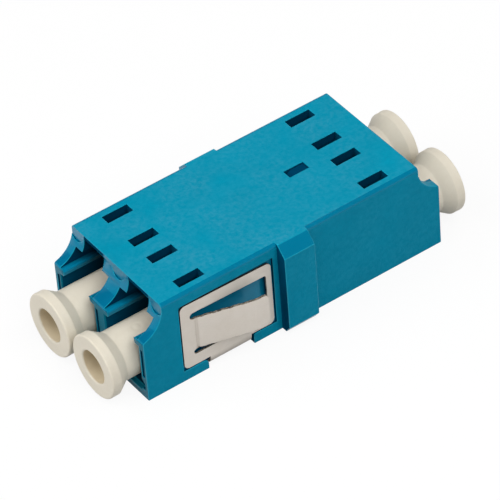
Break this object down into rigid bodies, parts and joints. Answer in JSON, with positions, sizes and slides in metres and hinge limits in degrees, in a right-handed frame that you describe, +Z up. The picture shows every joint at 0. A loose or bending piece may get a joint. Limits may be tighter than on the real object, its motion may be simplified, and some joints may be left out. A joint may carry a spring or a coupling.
{
  "type": "lc fibre adapter",
  "caption": "Duplex fibre adapter with latch windows, side collars, a wrap-round steel spring clip with sprung tabs, split alignment sleeves and pull-out dust caps.",
  "frame": {"origin": "centre of the housing's underside, which is also the middle of the part's bounding box at its base", "axes": "+X along the mating axes, from the end that enters the panel first towards the other end; +Y across the two ports; +Z up, from the underside to the face with the latch windows"},
  "size_m": [0.0356, 0.0154, 0.0092],
  "materials": {
    "blue_plastic": "semi-gloss moulded, fine texture outside",
    "ceramic": "polished zirconia",
    "spring_steel": "satin stainless strip",
    "cap_plastic": "soft satin cream"
  },
  "bodies": {
    "adapter": {"housing": "blue_plastic", "sleeve_insert": "blue_plastic", "split_sleeve_a": "ceramic", "split_sleeve_b": "ceramic", "spring_clip": "spring_steel"},
    "near_cap_a": {"near_cap_a": "cap_plastic"},
    "near_cap_b": {"near_cap_b": "cap_plastic"},
    "far_cap_a": {"far_cap_a": "cap_plastic"},
    "far_cap_b": {"far_cap_b": "cap_plastic"},
    "spring_tab_a": {"spring_tab_a": "spring_steel"},
    "spring_tab_b": {"spring_tab_b": "spring_steel"}
  },
  "joints": [
    {"name": "near_cap_a_pull", "type": "slide", "parent": "adapter", "child": "near_cap_a", "axis": [-1, 0, 0], "range_m": [0, 0.025]},
    {"name": "near_cap_b_pull", "type": "slide", "parent": "adapter", "child": "near_cap_b", "axis": [-1, 0, 0], "range_m": [0, 0.025]},
    {"name": "far_cap_a_pull", "type": "slide", "parent": "adapter", "child": "far_cap_a", "axis": [1, 0, 0], "range_m": [0, 0.025]},
    {"name": "far_cap_b_pull", "type": "slide", "parent": "adapter", "child": "far_cap_b", "axis": [1, 0, 0], "range_m": [0, 0.025]},
    {"name": "spring_tab_a_flex", "type": "hinge", "parent": "adapter", "child": "spring_tab_a", "pos_m": [-0.00978, -0.00617, 0.0044], "axis": [0, 0, 1], "range_deg": [0, 15.5], "stiffness_Nm_per_rad": 0.02},
    {"name": "spring_tab_b_flex", "type": "hinge", "parent": "adapter", "child": "spring_tab_b", "pos_m": [-0.00978, 0.00617, 0.0044], "axis": [0, 0, -1], "range_deg": [0, 15.5], "stiffness_Nm_per_rad": 0.02}
  ]
}
